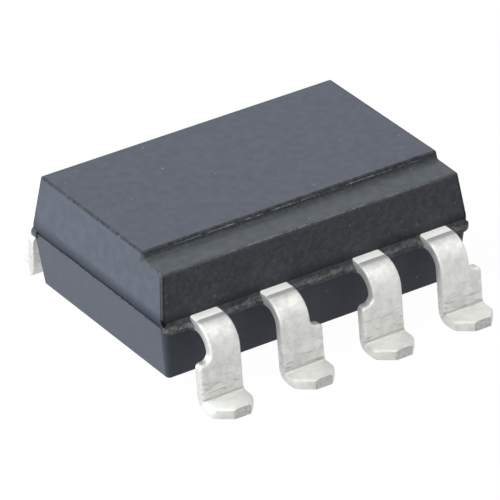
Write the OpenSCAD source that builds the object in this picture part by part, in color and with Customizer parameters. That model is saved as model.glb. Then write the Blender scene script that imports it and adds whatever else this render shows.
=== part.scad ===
// Two-channel optical coupler in an eight-lead package with gull-wing leads.
// Units are millimetres. The feet stand on z = 0, +X runs along the body, and leads 1 to 4
// come out of the -Y side, which is the side with the long step along its top edge.

/* [Body] */
// Length of the upper half at the plane where the two halves of the moulding meet
body_l = 9.7; // [9.2:0.02:10.4]
// Width of the moulding at the same plane
body_w = 6.62; // [6.2:0.02:7.2]
// Height of the upper half
upper_h = 1.75; // [1.5:0.01:2.2]
// Height of the lower half
lower_h = 1.62; // [1.4:0.01:2]
// Gap between the underside and the board
standoff = 0.46; // [0.3:0.01:0.9]
// How far each end wall leans in over the upper half
end_lean = 0.2; // [0.05:0.01:0.35]
// How far the -Y wall leans in over the upper half
front_lean = 0.23; // [0.05:0.01:0.35]
// How far the +Y wall leans in over the upper half
back_lean = 0.33; // [0.05:0.01:0.4]
// How far each end wall leans in over the lower half
lower_end_lean = 0.17; // [0.03:0.01:0.3]
// How far each side wall leans in over the lower half
lower_side_lean = 0.15; // [0.03:0.01:0.35]
// How far the lower half's ends stand inside the upper half's
lower_inset = 0.03; // [0.01:0.01:0.1]
// Radius of the upright corners
corner_r = 0.12; // [0.09:0.01:0.3]
// Radius of the edges round the top and the underside
edge_r = 0.08; // [0.03:0.01:0.15]
// How far the upper half's lower edge is rolled in, which leaves a groove round the ends
roll = 0.06; // [0.02:0.01:0.08]

/* [Step] */
// Distance from the middle plane to the riser of the step
step_y = 2.16; // [1.9:0.02:2.6]
// Height of the riser
step_h = 0.22; // [0.1:0.01:0.35]
// How far the foot of the riser stands out past its top
step_lean = 0.03; // [0:0.01:0.08]
// Fall of the ledge from the riser to the outer edge
ledge_fall = 0.03; // [0:0.01:0.08]

/* [Flash] */
// How far the flash between the leads stands out past the parting plane's edge
flash_out = 0.09; // [0.04:0.01:0.15]
// Height of the flash's upright edge
flash_edge = 0.12; // [0.05:0.01:0.18]

/* [Ejector marks] */
// Diameter of the ejector pin marks in the underside
ejector_d = 1.4; // [0.8:0.1:2]
// Depth of the ejector pin marks
ejector_depth = 0.05; // [0.02:0.01:0.1]
// Distance of each mark from the middle, along the length
ejector_x = 2.9; // [2:0.1:3.4]

/* [Leads] */
// Distance between neighbouring leads
pitch = 2.54; // [2.4:0.02:2.7]
// How far the row of leads lies off the moulding's middle, towards +X
lead_shift = 0.07; // [0:0.01:0.1]
// Thickness of the lead sheet
lead_t = 0.3; // [0.2:0.01:0.32]
// Width of the lower leg and the foot
lead_w = 1.28; // [1.1:0.01:1.4]
// Width of the notch that makes the upper leg narrower
notch_w = 0.37; // [0.2:0.01:0.45]
// Radius in the inner corner of the notch
notch_r = 0.28; // [0.05:0.01:0.35]
// Height of the notch's shelf above the board
shelf_z = 1.32; // [1:0.01:1.45]
// Flat length between the body and the shoulder bend
stem_out = 0.3; // [0.15:0.01:0.5]
// Inside radius of the shoulder bend
shoulder_r = 0.45; // [0.3:0.01:0.5]
// Lean of the leg from upright
leg_lean = 4; // [0:0.5:10]
// Inside radius of the bend between leg and foot
foot_r = 0.1; // [0.05:0.01:0.2]
// Flat length of the foot
foot_l = 0.68; // [0.5:0.01:0.9]
// Width of the cut end of the foot
tip_w = 0.46; // [0.4:0.01:0.7]
// Length of the taper from the foot's full width to its cut end
tip_l = 0.33; // [0.2:0.01:0.5]

/* [Inside leads] */
// Height that the pads are set above or below the leads
pad_offset = 0.65; // [0.55:0.01:0.7]
// Slope of the set in the lead
jog_angle = 45; // [30:1:60]
// Distance from the middle plane to the outer end of the set
jog_y = 2.1; // [1.9:0.02:2.15]
// Width of the lead's neck through the set
neck_w = 0.51; // [0.4:0.01:0.6]
// Length of the chip pad across its lead
pad_l = 1.6; // [1.3:0.01:1.7]
// Width of the chip pad along its lead
pad_w = 2.1; // [1.6:0.01:2.1]
// How far the pad and the wire post pass the middle plane
pad_past = 0.75; // [0.6:0.01:0.9]

/* [Inner moulds] */
// Length of each clear inner mould
inner_l = 3.3; // [3.1:0.01:3.5]
// Width of each clear inner mould
inner_w = 4.5; // [4.4:0.01:4.9]
// Thickness of clear resin over the pads
inner_cover = 0.32; // [0.2:0.01:0.4]
// How far the long walls of an inner mould lean in
inner_lean = 0.25; // [0.05:0.01:0.3]
// Radius of the inner mould's upright corners
inner_r = 0.4; // [0.1:0.01:0.6]

/* [Chips] */
// Side of the square light-emitting chip
emitter_side = 0.32; // [0.2:0.01:0.5]
// Thickness of the light-emitting chip
emitter_h = 0.2; // [0.15:0.01:0.22]
// Side of the square detector chip
detector_side = 1; // [0.6:0.01:1.2]
// Thickness of the detector chip
detector_h = 0.25; // [0.2:0.01:0.28]
// Thickness of the layer that fixes a chip to its pad
attach_h = 0.02; // [0.015:0.001:0.03]
// How far that layer shows round the chip
attach_rim = 0.04; // [0.02:0.01:0.08]

/* [Bond wires] */
// Diameter of the wires
wire_d = 0.04; // [0.03:0.005:0.05]
// Height of a wire's loop over its chip
loop_h = 0.12; // [0.08:0.01:0.15]
// Distance from the detector chip's middle to its bond
bond_off = 0.3; // [0:0.01:0.35]

/* [Hidden] */
eps = 0.01;
flash_seat = 0.3;
wire_sides = 8;
wire_rings = 14;
edge_steps = 4;
bend_steps = 12;

// heights
parting_z = standoff + lower_h;
lead_z = parting_z - lead_t / 2;
lead_top_z = parting_z + lead_t / 2;
top_z = parting_z + upper_h;

// the lead's side view: the shoulder's centre, the foot bend's centre and the tip
shoulder_out_r = shoulder_r + lead_t;
shoulder_y = body_w / 2 + stem_out;
shoulder_z = lead_top_z - shoulder_out_r;
heel_r = foot_r + lead_t;
heel_y = shoulder_y + (shoulder_out_r + foot_r + sin(leg_lean) * (shoulder_z - heel_r)) / cos(leg_lean);
tip_y = heel_y + foot_l;
stem_u = lead_w / 2 - notch_w;
join_y = body_w / 2 - 0.5;
jog_end_y = jog_y - pad_offset / tan(jog_angle);
pad_end_y = pad_w - pad_past;
inner_z = lead_z - pad_offset - inner_cover;
inner_h = lead_t + 2 * (pad_offset + inner_cover);

// chips and wires: places across the lead, measured from the lead's middle towards its neighbour
pad_u = lead_w / 2 - neck_w;
chip_u = pad_u + pad_l / 2;
post_u = pad_u + neck_w / 2;
chip_x = pitch / 2 - chip_u;
wire_span = pitch - chip_u - post_u;

// ---- helpers ----

// A rectangle with round corners, about the origin.
module round_rect(l, w, r) {
    square([l - 2 * r, w], center = true);
    square([l, w - 2 * r], center = true);
    for (x = [-1, 1], y = [-1, 1])
        translate([x * (l / 2 - r), y * (w / 2 - r)]) circle(r, $fn = 24);
}

// Extrudes a side view, drawn as distance from the middle plane and height, along X.
// It faces -Y, as the first lead row does.
module along_x(width) rotate([90, 0, -90]) linear_extrude(width, center = true) children();

// Mirrors its children into the second channel.
module channel(b) translate([lead_shift, 0, 0]) mirror([b ? 1 : 0, 0, 0]) translate([-pitch, 0, 0]) children();

// Turns its children over about the parting plane, which is the middle of the lead sheet.
module turn_over() translate([0, 0, parting_z]) mirror([0, 0, 1]) translate([0, 0, -parting_z]) children();

// Puts what hangs from the emitter pad on the detector pad, which faces up in the +Y row.
module detector_side() mirror([0, 1, 0]) turn_over() children();

// ---- body ----

// A half of the moulding with leaning walls and a round outer edge, standing on z = 0.
// lean holds how far the end, -Y and +Y walls lean in, and roll how far the lower edge does.
module half_shell(length, height, lean, roll) {
    top_l = length - 2 * lean[0];
    top_w = body_w - lean[1] - lean[2];
    hull() {
        linear_extrude(eps) round_rect(length - 2 * roll, body_w - 2 * roll, corner_r);
        translate([0, 0, roll]) linear_extrude(eps) round_rect(length, body_w, corner_r);
        translate([0, (lean[1] - lean[2]) / 2, 0])
            for (i = [0:edge_steps]) {
                a = 90 * i / edge_steps;
                inset = 2 * edge_r * (1 - cos(a));
                translate([0, 0, height - edge_r + edge_r * sin(a) - eps])
                    linear_extrude(eps) round_rect(top_l - inset, top_w - inset, corner_r);
            }
    }
}

// What the step takes off the -Y edge of the top.
module step_cut() {
    ledge_z = top_z - step_h;
    far_y = body_w / 2 + 1;
    ledge_w = body_w / 2 - front_lean - step_y;
    along_x(body_l + 1) polygon([
        [step_y, top_z + 1], [step_y, top_z], [step_y + step_lean, ledge_z],
        [far_y, ledge_z - ledge_fall * (far_y - step_y) / ledge_w], [far_y, top_z + 1]]);
}

// The flash that fills the gaps between the leads along the +Y and -Y walls.
module flash() {
    y = body_w / 2;
    for (side = [0, 1])
        mirror([0, side, 0]) along_x(body_l - lower_inset) polygon([
            [y - flash_seat, lead_z], [y + flash_out, lead_z], [y + flash_out, lead_z + flash_edge],
            [y, lead_top_z], [y - flash_seat, lead_top_z]]);
}

module body() {
    color("#4b4e57") difference() {
        union() {
            translate([0, 0, parting_z])
                half_shell(body_l, upper_h, [end_lean, front_lean, back_lean], roll);
            translate([0, 0, parting_z]) mirror([0, 0, 1])
                half_shell(body_l - 2 * lower_inset, lower_h,
                           [lower_end_lean, lower_side_lean, lower_side_lean], 0);
            flash();
        }
        step_cut();
        for (side = [-1, 1])
            translate([side * ejector_x, 0, standoff - eps])
                cylinder(d = ejector_d, h = ejector_depth + eps, $fn = 48);
        for (b = [false, true])
            channel(b) inner_outline();
        for (n = [1:8])
            lead_shape(n);
    }
}

// ---- inner moulds ----

// The outside of a clear inner mould, about its channel's middle.
module inner_outline() {
    y = inner_w / 2;
    intersection() {
        translate([0, 0, inner_z]) linear_extrude(inner_h) round_rect(inner_l, inner_w, inner_r);
        along_x(inner_l) polygon([
            [y - inner_lean, inner_z], [y, lead_z], [y, lead_top_z], [y - inner_lean, inner_z + inner_h],
            [inner_lean - y, inner_z + inner_h], [-y, lead_top_z], [-y, lead_z], [inner_lean - y, inner_z]]);
    }
}

// A clear mould round one channel's chips, pads and wires.
module inner_mould(b) {
    color("#e9e6da") channel(b) difference() {
        inner_outline();
        for (is_pad = [false, true], is_detector = [false, true])
            channel_lead(is_pad, is_detector);
        chip_stack(emitter_side, emitter_h);
        wire(emitter_h, 0);
        detector_side() {
            chip_stack(detector_side, detector_h);
            wire(detector_h, bond_off);
        }
    }
}

// ---- leads ----

// Points along an arc, from one direction to another in degrees.
function arc(centre, r, from, to) =
    [for (i = [0:bend_steps])
        let (a = from + (to - from) * i / bend_steps) centre + r * [cos(a), sin(a)]];

// Side view of a lead from its inner end to its tip. Inside the body it is set up to the level
// of the emitter pads where set is 1, and down to that of the detector pads where set is -1.
module lead_side_view(set) {
    shoulder = [shoulder_y, shoulder_z];
    heel = [heel_y, heel_r];
    miter = lead_t / 2 * [set * tan(jog_angle / 2), 1];
    jog_foot = [jog_y, parting_z];
    jog_head = [jog_end_y, parting_z + set * pad_offset];
    polygon(concat(
        [[-pad_past, lead_top_z + set * pad_offset], jog_head + miter, jog_foot + miter],
        arc(shoulder, shoulder_out_r, 90, leg_lean), arc(heel, foot_r, 180 + leg_lean, 270),
        [[tip_y, lead_t], [tip_y, 0]],
        arc(heel, heel_r, 270, 180 + leg_lean), arc(shoulder, shoulder_r, leg_lean, 90),
        [jog_foot - miter, jog_head - miter, [-pad_past, lead_z + set * pad_offset]]));
}

// Top view of a lead: the taper to the cut end outside the body, and a chip pad or a narrow post
// for the wire inside it.
module lead_top_view(is_pad) {
    inner_end = is_pad
        ? [[lead_w / 2, -pad_end_y], [pad_u + pad_l, -pad_end_y], [pad_u + pad_l, pad_past]]
        : [[lead_w / 2, pad_past]];
    polygon(concat(
        [[-stem_u, -jog_y], [-stem_u, -join_y], [-lead_w / 2, -join_y], [-lead_w / 2, tip_l - tip_y],
         [-tip_w / 2, -tip_y], [tip_w / 2, -tip_y], [lead_w / 2, tip_l - tip_y]],
        inner_end, [[pad_u, pad_past], [pad_u, -jog_y]]));
}

// Front view of what the notch takes off a lead, on the side away from the lead's partner.
module notch_front_view() {
    polygon(concat(
        arc([-stem_u - notch_r, shelf_z + notch_r], notch_r, 270, 360),
        [[-stem_u, top_z], [-lead_w, top_z], [-lead_w, shelf_z]]));
}

// One lead about its own middle, in the -Y row, with its partner on the +X side.
module lead_strip(is_pad, set) {
    difference() {
        intersection() {
            along_x(4 * pad_l) lead_side_view(set);
            linear_extrude(top_z) lead_top_view(is_pad);
        }
        rotate([90, 0, 0]) linear_extrude(tip_y + 1) notch_front_view();
    }
}

// A lead in its channel. The post is at -X and the pad at +X, and detector leads are at +Y.
module channel_lead(is_pad, is_detector) {
    mirror([0, is_detector ? 1 : 0, 0])
        translate([is_pad ? pitch / 2 : -pitch / 2, 0, 0])
            mirror([is_pad ? 1 : 0, 0, 0]) lead_strip(is_pad, is_detector ? -1 : 1);
}

// Lead n of the package. Leads 1 to 4 belong to the emitters, and leads 5 to 8 to the detectors.
module lead_shape(n) {
    is_pad = n == 2 || n == 3 || n == 6 || n == 7;
    channel(n > 2 && n < 7) channel_lead(is_pad, n > 4);
}

module lead(n) color("#d3d4d2") lead_shape(n);

// ---- chips ----

// The fixing layer under the pad, where side is the chip's.
module attach_layer(side) {
    translate([chip_x, 0, lead_z + pad_offset - attach_h / 2])
        cube([side + 2 * attach_rim, side + 2 * attach_rim, attach_h], center = true);
}

// A chip that hangs under the fixing layer.
module chip(side, height) {
    translate([chip_x, 0, lead_z + pad_offset - attach_h - height / 2])
        cube([side, side, height], center = true);
}

module chip_stack(side, height) {
    attach_layer(side);
    chip(side, height);
}

module emitter_chip(b) color("#7d5a50") channel(b) chip(emitter_side, emitter_h);
module detector_chip(b) color("#4a5560") channel(b) detector_side() chip(detector_side, detector_h);
module emitter_attach(b) color("#b9b9b4") channel(b) attach_layer(emitter_side);
module detector_attach(b) color("#b9b9b4") channel(b) detector_side() attach_layer(detector_side);

// ---- bond wires ----

// A wire from the chip's face to the post, as a tube swept along half an ellipse.
// offset is the distance of the bond from the chip's middle.
module wire(height, offset) {
    post_z = lead_z + pad_offset;
    start = [chip_x - offset, post_z - attach_h - height];
    delta = [-(wire_span - offset), attach_h + height];
    function at(t) = start + delta * (1 - cos(180 * t)) / 2 - [0, loop_h * sin(180 * t)];
    function course(t) = delta * sin(180 * t) / 2 - [0, loop_h * cos(180 * t)];
    function ring(t) =
        let (c = at(t), d = course(t) / norm(course(t)))
        [for (k = [0:wire_sides - 1])
            let (a = 360 * (k + 0.5) / wire_sides, s = wire_d / 2 * cos(a))
            [c[0] + s * d[1], wire_d / 2 * sin(a), c[1] - s * d[0]]];
    points = [for (i = [0:wire_rings]) each ring(i / wire_rings)];
    last = wire_rings * wire_sides;
    walls = [for (i = [0:wire_rings - 1], k = [0:wire_sides - 1])
        let (a = i * wire_sides + k, b = i * wire_sides + (k + 1) % wire_sides)
        [a, a + wire_sides, b + wire_sides, b]];
    polyhedron(points, concat(
        [[for (k = [0:wire_sides - 1]) k]], walls, [[for (k = [wire_sides - 1:-1:0]) last + k]]));
}

module emitter_wire(b) color("#d8b25a") channel(b) wire(emitter_h, 0);
module detector_wire(b) color("#d8b25a") channel(b) detector_side() wire(detector_h, bond_off);

// ---- the part ----

body();
inner_mould(false);  // inner_mould_a
inner_mould(true);  // inner_mould_b
lead(1);  // lead_1
lead(2);  // lead_2
lead(3);  // lead_3
lead(4);  // lead_4
lead(5);  // lead_5
lead(6);  // lead_6
lead(7);  // lead_7
lead(8);  // lead_8
emitter_chip(false);  // emitter_chip_a
emitter_chip(true);  // emitter_chip_b
detector_chip(false);  // detector_chip_a
detector_chip(true);  // detector_chip_b
emitter_attach(false);  // emitter_attach_a
emitter_attach(true);  // emitter_attach_b
detector_attach(false);  // detector_attach_a
detector_attach(true);  // detector_attach_b
emitter_wire(false);  // emitter_wire_a
emitter_wire(true);  // emitter_wire_b
detector_wire(false);  // detector_wire_a
detector_wire(true);  // detector_wire_b
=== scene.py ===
import math

import bmesh
import bpy
from bpy.props import FloatProperty, FloatVectorProperty, IntProperty, PointerProperty
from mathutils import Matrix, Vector, noise


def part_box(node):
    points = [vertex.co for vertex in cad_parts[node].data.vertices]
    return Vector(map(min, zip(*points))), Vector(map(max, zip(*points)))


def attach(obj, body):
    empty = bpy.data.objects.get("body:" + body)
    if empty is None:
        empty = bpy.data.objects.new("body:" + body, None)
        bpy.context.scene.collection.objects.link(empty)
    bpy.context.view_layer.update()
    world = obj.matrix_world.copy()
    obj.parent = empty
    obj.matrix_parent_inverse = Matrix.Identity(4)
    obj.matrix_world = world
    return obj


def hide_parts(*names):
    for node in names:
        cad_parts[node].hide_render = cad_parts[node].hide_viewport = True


bl_info = {
    "name": "Optocoupler package",
    "version": (1, 0, 0),
    "blender": (4, 5, 0),
    "location": "View3D > Sidebar > Package",
    "description": "Builds the housing, leads and finishes of a surface-mount optocoupler",
    "category": "Object",
}

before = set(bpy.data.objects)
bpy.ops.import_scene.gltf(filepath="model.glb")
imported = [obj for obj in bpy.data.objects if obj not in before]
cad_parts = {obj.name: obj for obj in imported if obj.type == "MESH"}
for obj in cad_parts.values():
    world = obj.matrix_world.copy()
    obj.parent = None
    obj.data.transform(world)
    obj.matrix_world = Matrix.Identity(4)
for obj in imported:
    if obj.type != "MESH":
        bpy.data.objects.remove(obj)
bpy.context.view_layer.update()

# Meshes are built in millimetres and scaled to metres at the end, which keeps the mesh
# tools exact. Shaders work in metres.
MM = 0.001
MICRON = 0.000001
TOUCH = 1e-6  # distance in millimetres below which two places count as one

LEADS_PER_ROW = 4
LEADS = [f"lead_{n}" for n in range(1, 2 * LEADS_PER_ROW + 1)]
BODY_LOW, BODY_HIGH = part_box("body")
BODY_BOTTOM = BODY_LOW.z / MM
BODY_TOP = BODY_HIGH.z / MM
BODY_END = BODY_HIGH.x / MM

# Material slots of the upper half, of the flash and of a lead
SATIN, ERODED, EDGE, WORN, LEDGE, TOP_EDGE_SHADE = range(6)
STRIP, CREST_HIGHLIGHT = range(2)
PLATED, SHEARED, LIT_STEM, LIT_FOOT, CREASE_SHADE = range(5)
MOST_SLOTS = 6

# Edges that turn by more than this stay sharp in the shading
SHARP = math.radians(40)
SHARP_FLASH = math.radians(60)
SHARP_BURR = math.radians(80)

# Parts of a face's normal along an axis: it faces that way, does so roughly, or is a side
FACING = 0.8
ROUGHLY = 0.5
SIDEWAYS = 0.3


# ---- settings ----

def length(size, name, description):
    """A length property, with its default given in millimetres."""
    return FloatProperty(name=name, description=description, default=size * MM,
                         unit="LENGTH", precision=6)


def angle(degrees, name, description):
    """An angle property, with its default given in degrees."""
    return FloatProperty(name=name, description=description,
                         default=math.radians(degrees), subtype="ANGLE")


def share(value, name, description):
    """A plain number property between 0 and 1."""
    return FloatProperty(name=name, description=description, default=value, min=0.0,
                         max=1.0, subtype="FACTOR")


def colour(value, name, description):
    """A colour property, in linear light."""
    return FloatVectorProperty(name=name, description=description, default=value, size=3,
                               subtype="COLOR", min=0.0, max=1.0)


class HousingSettings(bpy.types.PropertyGroup):
    """Sizes of the moulded housing that its box doesn't give."""

    width: length(6.62, "Width", "Width of the moulding at the parting plane")
    parting: length(2.08, "Parting height", "Height of the plane where the halves meet")
    end_lean: length(0.2, "End lean", "How far the upper half's ends lean in")
    front_lean: length(0.23, "Front lean", "How far the upper half's -Y wall leans in")
    back_lean: length(0.33, "Back lean", "How far the upper half's +Y wall leans in")
    lower_end_lean: length(0.17, "Lower end lean", "How far the lower half's ends lean in")
    lower_side_lean: length(0.15, "Lower side lean", "How far its side walls lean in")
    lower_inset: length(0.03, "Lower inset", "How far its ends stand inside the upper half's")
    step_y: length(2.16, "Step distance", "Distance from the middle to the riser's top")
    step_height: length(0.22, "Step height", "Height of the riser")
    step_lean: length(0.03, "Riser lean", "How far the riser's foot stands out past its top")
    ledge_fall: length(0.03, "Ledge fall", "Fall of the ledge from the riser to its edge")
    roll: length(0.07, "Roll", "How far the upper half's lower edge is rolled in at the ends")
    roll_height: length(0.28, "Roll height", "Height over which that edge is rolled in")
    groove: length(0.025, "Groove depth", "Depth of the groove under the rolled edge")
    groove_height: length(0.02, "Groove height", "Height of that groove")
    top_radius: length(0.055, "Top radius", "Radius of the edges round the top")
    step_radius: length(0.08, "Step radius", "Radius of the edges along the step")
    upper_corner: length(0.08, "Upper corner radius", "Radius of its upright corners")
    lower_corner: length(0.17, "Lower corner radius", "Radius of the lower half's corners")
    bottom_radius: length(0.08, "Bottom radius", "Radius of the edges round the underside")
    mark_diameter: length(1.4, "Mark diameter", "Diameter of the ejector marks underneath")
    mark_depth: length(0.05, "Mark depth", "Depth of the ejector marks")
    mark_x: length(2.9, "Mark distance", "Distance of each ejector mark from the middle")


class FlashSettings(bpy.types.PropertyGroup):
    """Sizes of the ragged flash between the leads, and of the burrs."""

    out: length(0.085, "Reach", "How far the flash stands out past the wall")
    drop: length(0.04, "Drop", "How far the flash hangs below the leads' undersides")
    tab: length(0.16, "Tab reach", "How much further it stands out along a lead's side")
    tab_width: length(0.04, "Tab width", "Distance over which a tab narrows to the strip")
    ripple: length(0.028, "Ripple", "Depth of the ragged surface")
    ripple_size: length(0.11, "Ripple size", "Size of the ragged surface's bumps")
    steps: IntProperty(name="Steps", description="Mesh steps along the strip",
                       default=900, min=50)
    burr: length(0.042, "Step burr", "Thickness of the burrs along the step's edges")
    lip_burr: length(0.028, "Lip burr", "Thickness of the burrs along the ends' lips")
    short: length(0.065, "Short end", "How far one end of the flash stops short")
    end_taper: length(0.16, "End taper", "Distance over which the flash's ends thin out")


class LeadSettings(bpy.types.PropertyGroup):
    """Sizes of the stamped and formed leads that their boxes don't give."""

    thickness: length(0.3, "Thickness", "Thickness of the lead sheet")
    width: length(1.28, "Width", "Width of the lower leg and the foot")
    notch_width: length(0.37, "Notch width", "Width of the notch that narrows the upper leg")
    notch_radius: length(0.23, "Notch radius", "Radius in the notch's inner corner")
    shelf: length(1.32, "Shelf height", "Height of the notch's shelf")
    stem: length(0.3, "Stem", "Flat length between the body and the shoulder bend")
    shoulder_radius: length(0.45, "Shoulder radius", "Inside radius of the shoulder bend")
    foot_radius: length(0.07, "Foot radius", "Inside radius of the bend above the foot")
    foot: length(0.708, "Foot length", "Flat length of the foot")
    tip_width: length(0.54, "Tip width", "Width of the cut end")
    tip_shift: length(0.07, "Tip shift", "How far the cut end is off the foot's middle")
    tip_length: length(0.33, "Taper length", "Length of the taper to the cut end")
    lean: angle(4, "Leg lean", "Lean of the leg from upright")
    neck: length(0.51, "Neck width", "Width of the neck inside the body")
    jog_y: length(2.1, "Set distance", "Distance from the middle to the set's outer end")
    pad_offset: length(0.65, "Set height", "How far the pads are set above or below the leads")
    pad_length: length(1.6, "Pad length", "Length of the chip pad across the lead")
    pad_width: length(2.1, "Pad width", "Width of the chip pad along the lead")
    pad_past: length(0.75, "Pad past middle", "How far the pad passes the middle plane")
    jog_radius: length(0.2, "Set radius", "Radius of the bends inside the body")
    front_edge: length(0.085, "Rolled edge", "Radius of the rolled edge on the outer face")
    back_edge: length(0.03, "Back edge", "Radius of the edge on the inner face")
    corner: length(0.13, "Corner radius", "Radius of the outline's outer corners")
    bend_step: angle(6, "Bend step", "Angle between the cuts across a bend")


class FinishSettings(bpy.types.PropertyGroup):
    """Colours of the finishes."""

    epoxy: colour((0.106, 0.117, 0.156), "Moulding compound", "Colour of the housing")
    epoxy_ledge: colour((0.112, 0.122, 0.139), "Ledge", "Colour of the step's ledge")
    epoxy_eroded: colour((0.084, 0.087, 0.099), "Eroded walls", "Colour of the rough walls")
    # Painted shade: the upright rounded edges of the upper half are painted near black, for
    # the dark lines along them
    epoxy_edge: colour((0.02, 0.024, 0.03), "Smooth edge", "Colour of the upright corners")
    epoxy_worn: colour((0.132, 0.138, 0.15), "Worn edge", "Colour of the worn edges")
    # Painted shade: the rounded edges round the top are painted darker than the top, for the
    # dark line along them
    epoxy_rolled: colour((0.075, 0.08, 0.092), "Rolled edge", "Colour of the top's edges")
    epoxy_flash: colour((0.112, 0.113, 0.12), "Flash", "Colour of the thin flash")
    # Painted highlight: a lighter band along the flash's crest, where it turns from its
    # upright edge to its sloping top
    epoxy_crest: colour((0.215, 0.22, 0.235), "Flash crest", "Colour of its rubbed crest")
    epoxy_burr: colour((0.23, 0.235, 0.25), "Burr", "Colour of the burrs along the step")
    epoxy_speck: colour((0.45, 0.46, 0.48), "Filler speck", "Colour of the filler grains")
    tin: colour((0.69, 0.69, 0.67), "Tin", "Colour of the leads' plating")
    tin_shade: colour((0.595, 0.595, 0.58), "Tin shade", "Colour of its duller patches")
    # Painted light: the tin on the stems' tops beside the body is painted near white, for
    # light that the body's wall keeps off
    tin_blasted: colour((0.95, 0.95, 0.93), "Blasted tin", "Colour of tin beside the body")
    # Painted light: the feet's plating is a lighter copy of the leads' tin, for the light on
    # their tops
    tin_foot: colour((0.92, 0.91, 0.87), "Foot tin", "Colour of the plating on the feet")
    # Painted shade: darker tin in the bends' creases, at the shoulder's start and on the
    # stems' sides, where light is kept off and the dark body is reflected
    tin_dull: colour((0.58, 0.58, 0.565), "Dull tin", "Colour of tin in the bends' creases")
    cut: colour((0.52, 0.52, 0.5), "Cut end", "Colour of the sheared end of a foot")
    resin: colour((0.78, 0.74, 0.62), "Inner resin", "Colour of the inner mouldings")
    emitter: colour((0.16, 0.07, 0.05), "Emitter crystal", "Colour of the emitting chips")
    silicon: colour((0.09, 0.11, 0.15), "Silicon", "Colour of the detector chips")
    paste: colour((0.55, 0.55, 0.53), "Silver paste", "Colour of the layers under the chips")
    gold: colour((0.83, 0.6, 0.24), "Gold", "Colour of the bond wires")


class StageSettings(bpy.types.PropertyGroup):
    """The camera, light and floor."""

    azimuth: angle(-31.827, "Azimuth", "Direction of the camera round the part")
    elevation: angle(29.494, "Elevation", "Height of the camera over the horizon")
    roll: angle(-2.273, "Roll", "Turn of the camera about its own axis")
    distance: length(147.27, "Distance", "Distance from the camera to what it looks at")
    target: FloatVectorProperty(name="Target", description="Point that the camera looks at",
                                default=(-0.000014, 0.0, 0.001362), subtype="XYZ",
                                unit="LENGTH")
    lens: FloatProperty(name="Focal length", description="Focal length in millimetres",
                        default=394.7, min=1.0)
    ambient: share(0.1, "Ambient", "Strength of the even light from all round")
    whiteness: share(0.86, "Floor whiteness", "How far the floor shows as plain white")


class Millimetres:
    """Reads a group of settings with its lengths in millimetres."""

    def __init__(self, settings):
        self.settings = settings

    def __getattr__(self, name):
        value = getattr(self.settings, name)
        kind = self.settings.bl_rna.properties[name]
        return value / MM if getattr(kind, "unit", "NONE") == "LENGTH" else value


# ---- mesh helpers ----

def new_object(name, bm, materials):
    """Turns a bmesh in millimetres into an object in metres, in the scene."""
    for vert in bm.verts:
        vert.co *= MM
    mesh = bpy.data.meshes.new(name)
    bm.to_mesh(mesh)
    bm.free()
    for material in materials:
        mesh.materials.append(material)
    piece = bpy.data.objects.new(name, mesh)
    bpy.context.collection.objects.link(piece)
    return piece


def smooth_object(name, bm, materials, limit):
    """An object that is shaded smooth, with sharp edges past a limit and normals that
    follow its flat faces."""
    piece = new_object(name, bm, materials)
    bm = bmesh.new()
    bm.from_mesh(piece.data)
    for edge in bm.edges:
        edge.smooth = not edge.is_manifold or edge.calc_face_angle() < limit
    for face in bm.faces:
        face.smooth = True
    bm.to_mesh(piece.data)
    bm.free()
    weighted = piece.modifiers.new("Flat normals", "WEIGHTED_NORMAL")
    weighted.keep_sharp = True
    weighted.weight = 100  # the largest faces decide
    return piece


def modified(bm, setup):
    """Runs modifiers on a bmesh through a passing object, and returns the result as a
    bmesh."""
    mesh = bpy.data.meshes.new("passing")
    bm.to_mesh(mesh)
    bm.free()
    # a modifier gives new faces only the slots that the object has
    for _ in range(MOST_SLOTS):
        mesh.materials.append(None)
    passing = bpy.data.objects.new("passing", mesh)
    bpy.context.collection.objects.link(passing)
    setup(passing)
    graph = bpy.context.evaluated_depsgraph_get()
    result = bmesh.new()
    result.from_mesh(passing.evaluated_get(graph).to_mesh())
    bpy.data.objects.remove(passing)
    bpy.data.meshes.remove(mesh)
    return result


def leaning_prism(front, back, half_length):
    """A prism along X with open ends, between two walls given as (y, z) points from the
    bottom up. half_length gives the distance of the ends from the middle at a height."""
    bm = bmesh.new()
    bm.edges.layers.float.new("bevel_weight_edge")
    walls = {(side, wall): [bm.verts.new((side * half_length(z), y, z)) for y, z in points]
             for side in (-1, 1) for wall, points in ((-1, front), (1, back))}
    for wall in (-1, 1):
        near, far = walls[-wall, wall], walls[wall, wall]
        for i in range(len(near) - 1):
            bm.faces.new((near[i], far[i], far[i + 1], near[i + 1])[::-1])
    for row, order in ((0, 1), (-1, -1)):
        ring = [walls[-1, -1][row], walls[-1, 1][row], walls[1, 1][row], walls[1, -1][row]]
        bm.faces.new(ring[::order])
    return bm, walls


def skin(bm, rings):
    """Closes a tube over rings of verts, and returns the faces of each band in turn."""
    count = len(rings[0])
    bands = [[bm.faces.new((before[k], before[(k + 1) % count],
                            after[(k + 1) % count], after[k])) for k in range(count)]
             for before, after in zip(rings, rings[1:])]
    bm.faces.new(rings[0])
    bm.faces.new(rings[-1])
    bmesh.ops.recalc_face_normals(bm, faces=bm.faces)
    return bands


def edge_between(a, b):
    """The edge that joins two verts."""
    return next(edge for edge in a.link_edges if edge.other_vert(a) is b)


def rounded(bm, radii, segments, finish):
    """Rounds edges of a bmesh, each with its own radius, and gives the new faces a
    finish."""
    widest = max(radii.values())
    weights = bm.edges.layers.float["bevel_weight_edge"]
    for edge in bm.edges:
        edge[weights] = 0.0
    for edge, radius in radii.items():
        edge[weights] = radius / widest

    def setup(passing):
        bevel = passing.modifiers.new("Round", "BEVEL")
        bevel.limit_method = "WEIGHT"
        bevel.offset_type = "OFFSET"
        bevel.width = widest
        bevel.segments = segments
        bevel.use_clamp_overlap = False
        bevel.material = finish

    return modified(bm, setup)


# ---- shader helpers ----

WHITE = (1.0, 1.0, 1.0, 1.0)


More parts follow.
